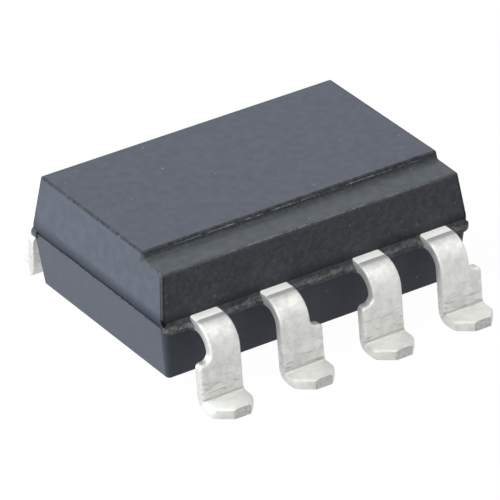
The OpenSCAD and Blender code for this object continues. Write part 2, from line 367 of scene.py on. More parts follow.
def rgba(value):
    """A colour with its alpha."""
    return (*value, 1.0)


def feed(tree, socket, value):
    """Sets a socket to a value, or links it to another node's socket."""
    if isinstance(value, bpy.types.NodeSocket):
        tree.links.new(value, socket)
    else:
        socket.default_value = value


def add_node(tree, kind, inputs=None, **settings):
    """Adds a node. inputs maps sockets to values, or to the sockets of other nodes."""
    node = tree.nodes.new(kind)
    for key, value in settings.items():
        setattr(node, key, value)
    for key, value in (inputs or {}).items():
        feed(tree, node.inputs[key], value)
    return node


def maths(tree, operation, *values, clamp=False):
    """A Math node's result."""
    return add_node(tree, "ShaderNodeMath", dict(enumerate(values)), operation=operation,
                    use_clamp=clamp).outputs[0]


def weighted_sum(tree, first, second, first_share):
    """The sum of two values, with a share for the first and the rest for the second."""
    return maths(tree, "ADD", maths(tree, "MULTIPLY", first, first_share),
                 maths(tree, "MULTIPLY", second, 1 - first_share))


def ramp(tree, value, low, high, start=0.0, end=1.0):
    """Maps a value from low..high to start..end, with soft ends."""
    return add_node(tree, "ShaderNodeMapRange",
                    {"Value": value, "From Min": low, "From Max": high, "To Min": start,
                     "To Max": end}, interpolation_type="SMOOTHSTEP").outputs[0]


def mix_colour(tree, factor, first, second):
    """Mixes two colours."""
    # a Mix node keeps the sockets of its colours after those of its other kinds
    return add_node(tree, "ShaderNodeMix", {0: factor, 6: first, 7: second},
                    data_type="RGBA").outputs[2]


def new_group(name, inputs, outputs):
    """A shader node group, with its input and output nodes."""
    group = bpy.data.node_groups.new(name, "ShaderNodeTree")
    for label, value in inputs.items():
        socket = group.interface.new_socket(label, in_out="INPUT",
                                            socket_type="NodeSocketFloat")
        socket.default_value = value
    for label in outputs:
        group.interface.new_socket(label, in_out="OUTPUT", socket_type="NodeSocketFloat")
    return group, group.nodes.new("NodeGroupInput"), group.nodes.new("NodeGroupOutput")


def object_place(tree):
    """The place on the object."""
    return tree.nodes.new("ShaderNodeTexCoord").outputs["Object"]


def scaled_place(tree, size):
    """The place on the object, divided by a size."""
    return add_node(tree, "ShaderNodeVectorMath",
                    {0: object_place(tree), "Scale": maths(tree, "DIVIDE", 1.0, size)},
                    operation="SCALE").outputs[0]


def noise_at(tree, place, detail, roughness, distortion=0.0):
    """A Noise texture's value at a place."""
    return add_node(tree, "ShaderNodeTexNoise",
                    {"Vector": place, "Scale": 1.0, "Detail": detail,
                     "Roughness": roughness, "Distortion": distortion}).outputs[0]


GRAIN_ROUGHNESS = 0.6
# Bands of a noise's values that are spread over 0 to 1
GRAIN_BAND = (0.3, 0.7)
TONE_BAND = (0.35, 0.72)
STREAK_BAND = (0.56, 0.68)
STREAK_SQUEEZE = (0.12, 1.0, 1.0)  # along each axis, which draws the streaks out along X
PATCH_SHARE = 0.6                  # part of the plating's relief that isn't pits
LEVEL_POWER = 0.7                  # how the mask falls above its level


def grain_group(name):
    """Moulded grain: a fine height, a mottle of middle size and broad patches."""
    tree, given, result = new_group(
        name, {"Grain size": 50 * MICRON, "Mottle size": 100 * MICRON,
               "Patch size": 1200 * MICRON}, ["Height", "Mottle", "Patches"])
    for size, detail, label in (("Grain size", 3.0, "Height"), ("Mottle size", 2.0, "Mottle"),
                                ("Patch size", 4.0, "Patches")):
        place = scaled_place(tree, given.outputs[size])
        value = noise_at(tree, place, detail, GRAIN_ROUGHNESS)
        if label != "Height":
            value = ramp(tree, value, *GRAIN_BAND)
        tree.links.new(value, result.inputs[label])
    return tree


def speck_group(name):
    """Sparse specks: in cells of a given spacing, a share of the cells holds a spot."""
    tree, given, result = new_group(name, {"Spacing": 200 * MICRON, "Share": 0.1,
                                           "Spot": 0.2}, ["Mask"])
    place = scaled_place(tree, given.outputs["Spacing"])
    cells = add_node(tree, "ShaderNodeTexVoronoi", {"Vector": place, "Scale": 1.0})
    chance = add_node(tree, "ShaderNodeSeparateColor", {0: cells.outputs["Color"]})
    chosen = maths(tree, "LESS_THAN", chance.outputs[0], given.outputs["Share"])
    outward = maths(tree, "DIVIDE", cells.outputs["Distance"], given.outputs["Spot"])
    inside = maths(tree, "SUBTRACT", 1.0, outward, clamp=True)
    weight = maths(tree, "MULTIPLY", chosen, chance.outputs[1])
    tree.links.new(maths(tree, "MULTIPLY", inside, weight), result.inputs["Mask"])
    return tree


def level_group(name):
    """A mask that is 1 at a level and falls to 0 over a height above it."""
    tree, given, result = new_group(name, {"Level": 2.08 * MM, "Height": 0.42 * MM},
                                    ["Mask"])
    up = add_node(tree, "ShaderNodeSeparateXYZ", {0: object_place(tree)}).outputs["Z"]
    rise = maths(tree, "DIVIDE", maths(tree, "SUBTRACT", up, given.outputs["Level"]),
                 given.outputs["Height"])
    falling = maths(tree, "POWER", maths(tree, "SUBTRACT", 1.0, rise, clamp=True),
                    LEVEL_POWER)
    above = maths(tree, "GREATER_THAN", rise, 0.0)
    tree.links.new(maths(tree, "MULTIPLY", falling, above), result.inputs["Mask"])
    return tree


def plating_group(name):
    """Uneven plating: soft patches of tone, fine pits, and faint streaks along X."""
    tree, given, result = new_group(
        name, {"Patch size": 250 * MICRON, "Pit size": 40 * MICRON,
               "Streak size": 60 * MICRON}, ["Tone", "Height", "Streaks"])
    patches = noise_at(tree, scaled_place(tree, given.outputs["Patch size"]), 3.0, 0.65, 0.2)
    pits = noise_at(tree, scaled_place(tree, given.outputs["Pit size"]), 2.0, 0.5)
    drawn = add_node(tree, "ShaderNodeVectorMath",
                     {0: scaled_place(tree, given.outputs["Streak size"]),
                      1: STREAK_SQUEEZE}, operation="MULTIPLY").outputs[0]
    streaks = noise_at(tree, drawn, 2.0, 0.5)
    tree.links.new(ramp(tree, patches, *TONE_BAND), result.inputs["Tone"])
    tree.links.new(weighted_sum(tree, patches, pits, PATCH_SHARE), result.inputs["Height"])
    tree.links.new(ramp(tree, streaks, *STREAK_BAND), result.inputs["Streaks"])
    return tree


GROUPS = {"Moulded grain": grain_group, "Specks": speck_group, "Level mask": level_group,
          "Plating": plating_group}


def add_group(tree, name, **inputs):
    """Places a shader group, made at its first use, in a material with its own values."""
    shared = bpy.data.node_groups.get(name) or GROUPS[name](name)
    group = add_node(tree, "ShaderNodeGroup", node_tree=shared)
    for key, value in inputs.items():
        group.inputs[key.replace("_", " ")].default_value = value
    return group


def new_material(name, base, rough=0.5, metallic=0.0, shine=0.5):
    """A material with a Principled shader of a base colour."""
    material = bpy.data.materials.new(name)
    material.use_nodes = True
    material.diffuse_color = rgba(base)
    shader = material.node_tree.nodes["Principled BSDF"]
    for label, value in (("Base Color", rgba(base)), ("Roughness", rough),
                         ("Metallic", metallic), ("Specular IOR Level", shine)):
        shader.inputs[label].default_value = value
    return material, material.node_tree, shader


def add_bump(tree, shader, height, depth):
    """Feeds a height to the shader's normal, with its full depth in metres."""
    bump = add_node(tree, "ShaderNodeBump", {"Height": height, "Distance": depth})
    tree.links.new(bump.outputs[0], shader.inputs["Normal"])


# ---- materials ----

# Moulding compound
FINE_SPECKS = {"Spacing": 160 * MICRON, "Spot": 0.28}
COARSE_SPECKS = {"Spacing": 700 * MICRON, "Spot": 0.065, "Share": 0.7}
FINE_SPECK_SHARE = 0.6    # how much the fine specks show
MOTTLE_SHARE = 0.75       # part of the tone that isn't broad patches
GLOSS_SPREAD = 0.02       # how far the patches move the roughness up and down
# Painted shade: the compound is painted darker just above the parting line, where the groove
# and the flash keep light off
PAINTED_PARTING_SHADE = 0.35      # shade right at the parting line
PARTING_ROUGHNESS = 0.95  # roughness there
# Painted shade: the lower half is the upper's compound painted darker
LOWER_PAINTED_SHADE = 0.83        # shade of the lower half beside the upper
# Plating
PLATING_DEPTH = 4 * MICRON     # depth of its relief
TONE_ROUGHENS = (-0.03, 0.05)  # change of its roughness where the tone is 0 and 1
STREAK_LEVEL = {"Level": 0.3 * MM, "Height": 0.9 * MM}  # where its streaks are strongest
STREAK_LEAST = 0.15            # their strength elsewhere
STREAK_SHADE = 0.74            # their shade
FOOT_SHADE = 0.9               # shade of the feet's duller patches


def epoxy(name, base, rough, mottle, specks, depth, mottle_size=100, shine=0.3, parting_shade_and_dulling=1.0):
    """Moulding compound. mottle is the contrast of its tone, specks the share of cells that
    hold a filler grain, depth the height of its grain and mottle_size the size of its
    mottle in microns, shine its specular level, and the last argument how far a painted
    shade darkens it beside the parting line, where its roughness also rises."""
    scene = bpy.context.scene
    material, tree, shader = new_material(name, base, shine=shine)
    texture = add_group(tree, "Moulded grain", Mottle_size=mottle_size * MICRON)
    fine = add_group(tree, "Specks", Share=specks, **FINE_SPECKS)
    coarse = add_group(tree, "Specks", **COARSE_SPECKS)
    mask = maths(tree, "ADD", maths(tree, "MULTIPLY", fine.outputs[0], FINE_SPECK_SHARE),
                 coarse.outputs[0], clamp=True)
    base = Vector(base)
    patches = texture.outputs["Patches"]
    tone = weighted_sum(tree, texture.outputs["Mottle"], patches, MOTTLE_SHARE)
    body = mix_colour(tree, tone, rgba(base * (1 - mottle)), rgba(base * (1 + mottle)))
    # Painted shade: the colour darkens towards the parting line, and the roughness rises there
    level = add_group(tree, "Level mask", Level=scene.package_housing.parting)
    shaded_and_dulled = maths(tree, "MULTIPLY", level.outputs[0], parting_shade_and_dulling)
    specked = mix_colour(tree, mask, body, rgba(scene.package_finish.epoxy_speck))
    tree.links.new(mix_colour(tree, shaded_and_dulled, specked, rgba(base * PAINTED_PARTING_SHADE)),
                   shader.inputs["Base Color"])
    gloss = ramp(tree, patches, 0.0, 1.0, rough - GLOSS_SPREAD, rough + GLOSS_SPREAD)
    rise = maths(tree, "MULTIPLY", shaded_and_dulled, PARTING_ROUGHNESS - rough)
    tree.links.new(maths(tree, "ADD", gloss, rise), shader.inputs["Roughness"])
    add_bump(tree, shader, texture.outputs["Height"], depth * MICRON)
    return material


def tin_plating(name, base, shade, rough, metallic):
    """Satin tin plating, with streaks across the lead, the most just above its foot."""
    material, tree, shader = new_material(name, base, metallic=metallic)
    plating = add_group(tree, "Plating")
    tone = plating.outputs["Tone"]
    low = add_group(tree, "Level mask", **STREAK_LEVEL).outputs[0]
    streaks = maths(tree, "MULTIPLY", plating.outputs["Streaks"],
                    ramp(tree, low, 0.0, 1.0, STREAK_LEAST, 1.0))
    plated = mix_colour(tree, tone, rgba(base), rgba(shade))
    tree.links.new(mix_colour(tree, streaks, plated, rgba(Vector(shade) * STREAK_SHADE)),
                   shader.inputs["Base Color"])
    least, most = (rough + change for change in TONE_ROUGHENS)
    tree.links.new(ramp(tree, tone, 0.0, 1.0, least, most), shader.inputs["Roughness"])
    add_bump(tree, shader, plating.outputs["Height"], PLATING_DEPTH)
    return material


def two_shades(name, base, shades, group, rough, depth, metallic=0.0, **sizes):
    """A finish of one colour in two shades, mixed and roughened by a group with its own
    sizes. depth is the height of its relief, in metres."""
    material, tree, shader = new_material(name, base, rough, metallic)
    texture = add_group(tree, group, **sizes)
    first, second = (rgba(Vector(base) * shade) for shade in shades)
    mask = texture.outputs["Tone" if group == "Plating" else "Patches"]
    tree.links.new(mix_colour(tree, mask, first, second), shader.inputs["Base Color"])
    add_bump(tree, shader, texture.outputs["Height"], depth)
    return material


def cut_metal(base):
    """The sheared end of a foot, where bare copper alloy shows grey and rough."""
    return two_shades("sheared end", base, (1.0, 0.7), "Plating", rough=0.6,
                      depth=10 * MICRON, metallic=1.0, Patch_size=80 * MICRON,
                      Pit_size=30 * MICRON)


def filled_resin(base):
    """White filled resin round the chips."""
    return two_shades("inner resin", base, (0.9, 1.0), "Moulded grain", rough=0.4,
                      depth=3 * MICRON, Grain_size=40 * MICRON, Patch_size=800 * MICRON)


def crystal(name, base):
    """A polished semiconductor chip with faint saw marks."""
    return two_shades(name, base, (0.8, 1.2), "Moulded grain", rough=0.15,
                      depth=0.5 * MICRON, Grain_size=10 * MICRON, Patch_size=100 * MICRON)


def soft_metal(name, base, rough, pit):
    """Gold wire or cured silver paste, with pits of a size in metres."""
    return two_shades(name, base, (1.0, 0.85), "Plating", rough, depth=pit / 10,
                      metallic=1.0, Patch_size=pit * 4, Pit_size=pit)


# ---- housing ----

UPPER_SEGMENTS = 5
LOWER_SEGMENTS = 6
MARK_SEGMENTS = 64
ROLL_STEPS = 8      # cuts over the rolled lower edge
RIM = 2             # the prism's ring at that edge's foot
RIM_RADIUS = 0.012  # radius of the foot
RIM_STEP = 0.002    # height of the strip that steps out to it from the groove
SLOPING = 0.15      # part of a rounded edge's normal past which the edge isn't upright
LEDGE_BAND = 0.01   # height over the ledge within which a level face belongs to it


def upper_half(sizes, materials):
    """The upper half, with the step along its -Y edge and a rolled lower edge at the
    ends."""
    height = BODY_TOP - sizes.parting
    half_width = sizes.width / 2
    lip = sizes.parting + sizes.groove_height
    roll_height = sizes.roll_height - sizes.groove_height

    def wall(lean, z):
        return half_width - lean * (z - sizes.parting) / height

    def half_length(z):
        left = max(0.0, 1.0 - (z - lip) / roll_height)
        rolled = sizes.roll * left * left if z >= lip else sizes.roll + sizes.groove
        return BODY_END - sizes.end_lean * (z - sizes.parting) / height - rolled

    heights = [sizes.parting, lip - RIM_STEP]
    heights += [lip + roll_height * i / ROLL_STEPS for i in range(ROLL_STEPS + 1)]
    last = len(heights) - 1
    ledge = BODY_TOP - sizes.step_height
    front = [(-wall(sizes.front_lean, z), z) for z in heights + [ledge - sizes.ledge_fall]]
    front += [(-sizes.step_y - sizes.step_lean, ledge), (-sizes.step_y, BODY_TOP)]
    back = [(wall(sizes.back_lean, z), z) for z in heights + [BODY_TOP]]
    bm, walls = leaning_prism(front, back, half_length)
    radii = {}
    for side in (-1, 1):
        near, far = walls[side, -1], walls[side, 1]
        for i in range(last):
            bm.faces.new((near[i], far[i], far[i + 1], near[i + 1])[::side])
        bm.faces.new((near[last], far[last], far[-1], near[-1], near[-2], near[-3])[::side])
        for chain in (near[RIM:], far[RIM:]):
            for low, high in zip(chain, chain[1:]):
                radii[edge_between(low, high)] = sizes.upper_corner
        radii[edge_between(near[-1], far[-1])] = sizes.top_radius
        radii[edge_between(near[RIM], far[RIM])] = RIM_RADIUS
    radii[edge_between(walls[-1, 1][-1], walls[1, 1][-1])] = sizes.top_radius
    for index, radius in ((-1, sizes.step_radius), (-2, sizes.upper_corner),
                          (-3, sizes.step_radius)):
        radii[edge_between(walls[-1, -1][index], walls[1, -1][index])] = radius
    bm = rounded(bm, radii, UPPER_SEGMENTS, EDGE)
    finish_walls(bm, sizes)
    return smooth_object("housing_upper", bm, materials, SHARP)


def finish_walls(bm, sizes):
    """Chooses the finish of each face of the upper half: eroded long walls, a worn riser and
    worn edges along the ledge, the ledge's own, and a painted shade on the edges round the
    top."""
    ledge = BODY_TOP - sizes.step_height
    for face in bm.faces:
        middle = face.calc_center_median()
        slot, up = face.material_index, face.normal.z
        if slot == SATIN and abs(face.normal.y) > FACING and middle.z > sizes.parting:
            face.material_index = WORN if middle.z > ledge and middle.y < 0 else ERODED
        elif slot == SATIN and up > FACING and middle.z < ledge + LEDGE_BAND:
            face.material_index = LEDGE
        elif slot == EDGE and abs(up) > SLOPING:
            high = middle.z > ledge + sizes.step_height / 2
            face.material_index = TOP_EDGE_SHADE if high else WORN


def lower_half(sizes, materials):
    """The lower half, with a crisp lip at the ends and ejector marks in its underside."""
    height = sizes.parting - BODY_BOTTOM
    half_width = sizes.width / 2

    def half_length(z):
        lean = sizes.lower_end_lean * (sizes.parting - z) / height
        return BODY_END - sizes.lower_inset - lean

    foot = half_width - sizes.lower_side_lean
    bm, walls = leaning_prism([(-foot, BODY_BOTTOM), (-half_width, sizes.parting)],
                              [(foot, BODY_BOTTOM), (half_width, sizes.parting)],
                              half_length)
    radii = {}
    for side in (-1, 1):
        near, far = walls[side, -1], walls[side, 1]
        bm.faces.new((near[0], far[0], far[1], near[1])[::side])
        radii[edge_between(near[0], far[0])] = sizes.bottom_radius
        for chain in (near, far):
            radii[edge_between(*chain)] = sizes.lower_corner
    for wall in (-1, 1):
        radii[edge_between(walls[-1, wall][0], walls[1, wall][0])] = sizes.bottom_radius
    bm = with_marks(rounded(bm, radii, LOWER_SEGMENTS, SATIN), sizes)
    return smooth_object("housing_lower", bm, materials, SHARP)


def with_marks(bm, sizes):
    """Sinks the round ejector marks into the underside."""
    marks = bmesh.new()
    radius = sizes.mark_diameter / 2
    for side in (-1, 1):
        made = bmesh.ops.create_cone(marks, cap_ends=True, segments=MARK_SEGMENTS,
                                     radius1=radius, radius2=radius,
                                     depth=2 * sizes.mark_depth)
        bmesh.ops.translate(marks, verts=made["verts"],
                            vec=(side * sizes.mark_x, 0, BODY_BOTTOM))
    mesh = bpy.data.meshes.new("marks")
    marks.to_mesh(mesh)
    marks.free()
    cutter = bpy.data.objects.new("marks", mesh)
    bpy.context.collection.objects.link(cutter)

    def setup(passing):
        cut = passing.modifiers.new("Marks", "BOOLEAN")
        cut.operation = "DIFFERENCE"
        cut.solver = "EXACT"
        cut.object = cutter

    result = modified(bm, setup)
    bpy.data.objects.remove(cutter)
    bpy.data.meshes.remove(mesh)
    return result


# ---- leads ----

FILLET_STEPS = 10
CORNER_SEGMENTS = 5
RIM_SEGMENTS = 4
LEAST_BEND_CUTS = 3
SEARCH_STEPS = 4000   # steps in which a place along a path is looked for
PATH_SLACK = 1e-9     # how far before a stretch a distance still counts as on it
WALL_SEAT = 0.05      # how far inside the wall a lead's outer finishes begin
# Painted shade: shares of the shoulder bend and of the foot bend that the shaded tin reaches
SHOULDER_SHADE_END = 0.14  # share of the shoulder bend at which dull tin ends
FOOT_CREASE_END = 0.55      # share of the foot bend at which it ends


class Stretch:
    """A stretch of a path: a bend where it has a radius, and otherwise straight. begin is
    its place along the path, and turn is 1 clockwise and -1 counter-clockwise."""

    def __init__(self, begin, start, heading, extent, radius=0.0, turn=0.0):
        self.begin, self.start, self.heading = begin, start, heading
        self.length, self.radius, self.turn = extent, radius, turn

    def at(self, here):
        """The point and the direction at a distance along the stretch."""
        if not self.radius:
            return self.start + self.heading * here, self.heading
        turned = -self.turn * (here / self.radius)
        left = Vector((-self.heading.y, self.heading.x))
        centre = self.start - left * self.turn * self.radius
        return (centre + rotated(self.start - centre, turned),
                rotated(self.heading, turned))


class BentPath:
    """A line of straight stretches and round bends, followed by its length."""

    def __init__(self, corners, radii):
        self.parts = []
        self.length = 0.0
        start = corners[0]
        for corner, following, radius in zip(corners[1:], corners[2:], radii):
            before = (corner - start).normalized()
            after = (following - corner).normalized()
            turn = before.angle_signed(after)
            setback = radius * math.tan(abs(turn) / 2)
            self._add(start, before, (corner - start).length - setback)
            self._add(corner - before * setback, before, radius * abs(turn), radius,
                      math.copysign(1.0, turn))
            start = corner + after * setback
        last = corners[-1] - start
        self._add(start, last.normalized(), last.length)

    def _add(self, start, heading, extent, *bend):
        self.parts.append(Stretch(self.length, start, heading, extent, *bend))
        self.length += extent

    def at(self, distance):
        """The point and the direction at a distance along the path."""
        part = next(part for part in reversed(self.parts)
                    if distance >= part.begin - PATH_SLACK)
        return part.at(distance - part.begin)

    def distance_where(self, test):
        """The first distance at which a test of the point holds."""
        places = (self.length * i / SEARCH_STEPS for i in range(SEARCH_STEPS + 1))
        return next(place for place in places if test(self.at(place)[0]))


def rotated(vector, turn):
    """A 2-D vector turned counter-clockwise."""
    c, s = math.cos(turn), math.sin(turn)
    return Vector((vector.x * c - vector.y * s, vector.x * s + vector.y * c))


def lead_place(name):
    """A lead's middle along X in millimetres, and the side that its partner is on."""
    low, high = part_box(name)
    number = LEADS.index(name)
    far_row = number >= LEADS_PER_ROW
    partner = 1 if (number % 2 == 0) != far_row else -1
    outer = (low if partner > 0 else high).x / MM
    width = Millimetres(bpy.context.scene.package_leads).width
    return outer + partner * width / 2, partner


def lead_sides(row):
    """The sides along X of the stems in a row, as (left, right) pairs in millimetres."""
    sizes = Millimetres(bpy.context.scene.package_leads)
    sides = []
    for name in LEADS[:LEADS_PER_ROW] if row < 0 else LEADS[LEADS_PER_ROW:]:
        centre, partner = lead_place(name)
        near = centre - partner * (sizes.width / 2 - sizes.notch_width)
        far = centre + partner * sizes.width / 2
        sides.append((min(near, far), max(near, far)))
    return sides


def lead_path(sizes, housing, set_up):
    """The middle line of a lead's side view, from its inner end to its tip. set_up says
    whether its inner end is set above the parting plane or below it."""
    parting, lean = housing.parting, sizes.lean
    half = sizes.thickness / 2
    level = parting + (sizes.pad_offset if set_up else -sizes.pad_offset)
    shoulder_r = sizes.shoulder_radius + half
    foot_r = sizes.foot_radius + half
    shoulder = Vector((housing.width / 2 + sizes.stem, parting - shoulder_r))
    heel_z = sizes.foot_radius + sizes.thickness
    fall = math.sin(lean) * (shoulder.y - heel_z)
    heel_y = shoulder.x + (shoulder_r + foot_r + fall) / math.cos(lean)
    slope = math.tan((math.pi / 2 - lean) / 2)
    corners = [(-sizes.pad_past, level), (sizes.jog_y - sizes.pad_offset, level),
               (sizes.jog_y, parting), (shoulder.x + shoulder_r * slope, parting),
               (heel_y - foot_r * slope, half), (heel_y + sizes.foot, half)]
    radii = [sizes.jog_radius, sizes.jog_radius, shoulder_r, foot_r]
    return BentPath([Vector(corner) for corner in corners], radii)


def lead_outline(sizes, path, is_pad, shift):
    """The flat blank of a lead as (across, along) points, with its partner on the + side
    and its cut end off the middle by a shift, and the outer corners that are rounded."""
    half = sizes.width / 2
    stem = half - sizes.notch_width
    pad_near = half - sizes.neck
    pad_far = pad_near + sizes.pad_length
    jog = path.distance_where(lambda p: p.x >= sizes.jog_y)
    shelf = path.distance_where(lambda p: p.x > sizes.jog_y + 1 and p.y <= sizes.shelf)
    taper = path.length - sizes.tip_length
    radius = sizes.notch_radius
    angles = [math.pi / 2 * i / FILLET_STEPS for i in range(FILLET_STEPS + 1)]
    fillet = [(-stem - radius * (1 - math.cos(a)), shelf - radius * (1 - math.sin(a)))
              for a in angles]
    corners = [(-half, shelf), (-half, taper), (half, taper)]
    outline = [(-stem, jog), *fillet, *corners[:2],
               (shift - sizes.tip_width / 2, path.length),
               (shift + sizes.tip_width / 2, path.length), corners[2]]
    if is_pad:
        pad = path.distance_where(lambda p: p.x >= sizes.pad_width - sizes.pad_past)
        outline += [(half, pad), (pad_far, pad), (pad_far, 0.0)]
    else:
        outline += [(half, 0.0)]
    outline += [(pad_near, 0.0), (pad_near, jog)]
    return outline, corners


def bend_cuts(path, step):
    """Distances along the path at which the blank is cut, so that it bends smoothly."""
    cuts = []
    for part in path.parts:
        if part.radius:
            count = max(LEAST_BEND_CUTS, round(part.length / part.radius / step))
            cuts += [part.begin + part.length * i / count for i in range(count + 1)]
    return cuts


def at_tip(verts, path):
    """Whether all the verts of a flat blank's edge or face lie in its cut end."""
    return all(abs(vert.co.y - path.length) < TOUCH for vert in verts)


def lead_blank(sizes, path, wall, is_pad, shift):
    """The flat, edge-rounded blank, with X across, Y along and Z through the sheet."""
    outline, corners = lead_outline(sizes, path, is_pad, shift)
    half = sizes.thickness / 2
    bm = bmesh.new()
    bm.edges.layers.float.new("bevel_weight_edge")
    under = [bm.verts.new((u, s, -half)) for u, s in outline]
    over = [bm.verts.new((u, s, half)) for u, s in outline]
    count = len(outline)
    bm.faces.new(under)
    bm.faces.new(over[::-1])
    for i in range(count):
        j = (i + 1) % count
        bm.faces.new((over[i], over[j], under[j], under[i]))
    bmesh.ops.recalc_face_normals(bm, faces=bm.faces)
    upright = {}
    for edge in bm.edges:
        low, high = (vert.co for vert in edge.verts)
        if abs(low.z - high.z) > half and any((low.xy - Vector(corner)).length < TOUCH
                                              for corner in corners):
            upright[edge] = sizes.corner
    bm = rounded(bm, upright, CORNER_SEGMENTS, PLATED)
    rims = {}
    for edge in bm.edges:
        level = edge.verts[0].co.z
        flat = abs(level - edge.verts[1].co.z) < TOUCH
        at_side = any(abs(face.normal.z) < ROUGHLY for face in edge.link_faces)
        if flat and at_side and not at_tip(edge.verts, path):
            rims[edge] = sizes.front_edge if level > 0 else sizes.back_edge
    bm = rounded(bm, rims, RIM_SEGMENTS, PLATED)
    for cut in [wall, *bend_cuts(path, sizes.bend_step)]:
        bmesh.ops.bisect_plane(bm, geom=bm.verts[:] + bm.edges[:] + bm.faces[:],
                               dist=TOUCH, plane_co=(0, cut, 0), plane_no=(0, 1, 0))
    return bm


def finish_lead(bm, path, wall):
    """Chooses the finish of each face of a flat blank: plating, the sheared end, near-white
    tin beside the body and lighter tin on the foot as painted light, and painted shade in the
    creases of the bends, at the shoulder's start and on the stem's sides."""
    shoulder, foot = path.parts[-4], path.parts[-2]
    # The painted shade ends at worn on the shoulder and at crease in the foot's bend
    worn = shoulder.begin + SHOULDER_SHADE_END * shoulder.length
    crease = foot.begin + FOOT_CREASE_END * foot.length
    for face in bm.faces:
        along = face.calc_center_median().y
        up = face.normal.z
        beside_body = wall < along < worn
        in_crease = foot.begin < along < crease
        if at_tip(face.verts, path):
            face.material_index = SHEARED
        elif beside_body and up > FACING:
            face.material_index = LIT_STEM if along < shoulder.begin else CREASE_SHADE
        elif along > crease and up > -ROUGHLY:
            face.material_index = LIT_FOOT
        elif in_crease and up > ROUGHLY or beside_body and abs(up) < SIDEWAYS:
            face.material_index = CREASE_SHADE


def build_lead(name, sizes, housing, materials):
    """One formed lead, bent from its blank to the place of its CAD node."""
    number = LEADS.index(name)
    is_pad = number % LEADS_PER_ROW in (1, 2)
    near_row = number < LEADS_PER_ROW
    row = -1 if near_row else 1
    centre, partner = lead_place(name)
    path = lead_path(sizes, housing, near_row)
    wall = path.distance_where(lambda p: p.x >= housing.width / 2 - WALL_SEAT)
    bm = lead_blank(sizes, path, wall, is_pad, partner * sizes.tip_shift)
    finish_lead(bm, path, wall)
    for vert in bm.verts:
        across, along, through = vert.co
        point, heading = path.at(min(along, path.length))
        place = point + Vector((-heading.y, heading.x)) * through
        vert.co = (centre + partner * across, row * place.x, place.y)
    if partner * row < 0:
        bmesh.ops.reverse_faces(bm, faces=bm.faces)
    return smooth_object(f"{name}_formed", bm, materials, SHARP)


# ---- flash and burrs ----

# The flash's section: shares of its reach and of its height, from its hidden back at the
# bottom round to its hidden back at the top
FLASH_SECTION = [(-3.0, 0.0), (0.8, 0.0), (1.0, 0.1), (1.0, 0.42), (0.5, 0.72),
                 (0.0, 0.97), (-0.6, 1.0), (-3.0, 1.0)]
SECTION_STEPS = 5
THINNING_LEVEL = 0.35  # share of its height about which the flash thins out at its ends
THIN_END = 0.4         # share of its height that is left there
CORNER_GAP = 0.005     # from the end that reaches the body's corner to that corner
# Height of the painted highlight along the flash's crest and half its width, as shares of
# the flash's height: a middle, then each wave's depth, number per millimetre and seed
CREST_HEIGHT = (0.46, ((0.4, 0.9, 0), (0.12, 6, 1)))
CREST_WIDTH = (0.2, ((0.2, 2.5, 2),))
# The ragged relief, in shares of the ripple's depth and size
RIDGE_SCALES = (0.35, 0.5, 1.3)
RIDGE_DEPTH = 1.2
BUMP_SCALE = 1.7
BUMP_DEPTH = 0.7
RAGGED_SINK = 0.25  # how far it lies inwards on the whole
RAGGED_TOP = 0.35   # the most that it stands out
RAGGED_FULL = 0.5   # share of the flash's reach from which on it is full
RAGGED_LIFT = 0.5   # its lift at the bottom, beside its push outwards

BURR_SIDES = 6
BURR_STEP = 0.02
LEAST_BURR_STEPS = 8
# How a burr swells: a middle, then each wave's depth and number per millimetre
BURR_MIDDLE = 0.6
BURR_WAVES = ((0.8, 2.5), (0.6, 13.0))
BURR_LEAST = 0.1  # least share of its thickness that it swells to
BURR_END = 0.05   # share of its thickness at its ends
BURR_TAPER = 4    # it tapers over one in this many parts of its length
# Burrs along the step: their gap to the ends in millimetres, and in thicknesses how far
# they stand out of the wall and lie below its edge
RISER_BURR = (0.05, 0.1, 2.0)
LEDGE_BURR = (0.02, -0.7, 0.6)


def wandering(x, row, course):
    """A value that wanders along X about its middle."""
    middle, waves = course
    return sum((depth * noise.noise(Vector((x * often, row, seed)))
                for depth, often, seed in waves), middle)


def ragged(spot):
    """Uneven relief at a spot: ridges drawn out along X under finer bumps."""
    ridges = noise.noise(Vector([part * scale for part, scale in zip(spot, RIDGE_SCALES)]))
    bumps = noise.noise(spot * BUMP_SCALE)
    return min(RAGGED_TOP, RIDGE_DEPTH * ridges + BUMP_DEPTH * bumps - RAGGED_SINK)


def flash_section():
    """The points round the flash's section, with its free side cut finer."""
    points = []
    for (out_a, up_a), (out_b, up_b) in zip(FLASH_SECTION, FLASH_SECTION[1:]):
        count = SECTION_STEPS if max(out_a, out_b) > 0 else 1
        points += [(out_a + (out_b - out_a) * i / count, up_a + (up_b - up_a) * i / count)
                   for i in range(count)]
    return [*points, FLASH_SECTION[-1]]


def flash_reach(x, sides, sizes):
    """How far the flash stands out at a place, with a tab along each lead's side."""
    gap = min(max(left - x, x - right, 0.0) for left, right in sides)
    inside = any(left < x < right for left, right in sides)
    return sizes.out + (0.0 if inside else sizes.tab * math.exp(-gap / sizes.tab_width))


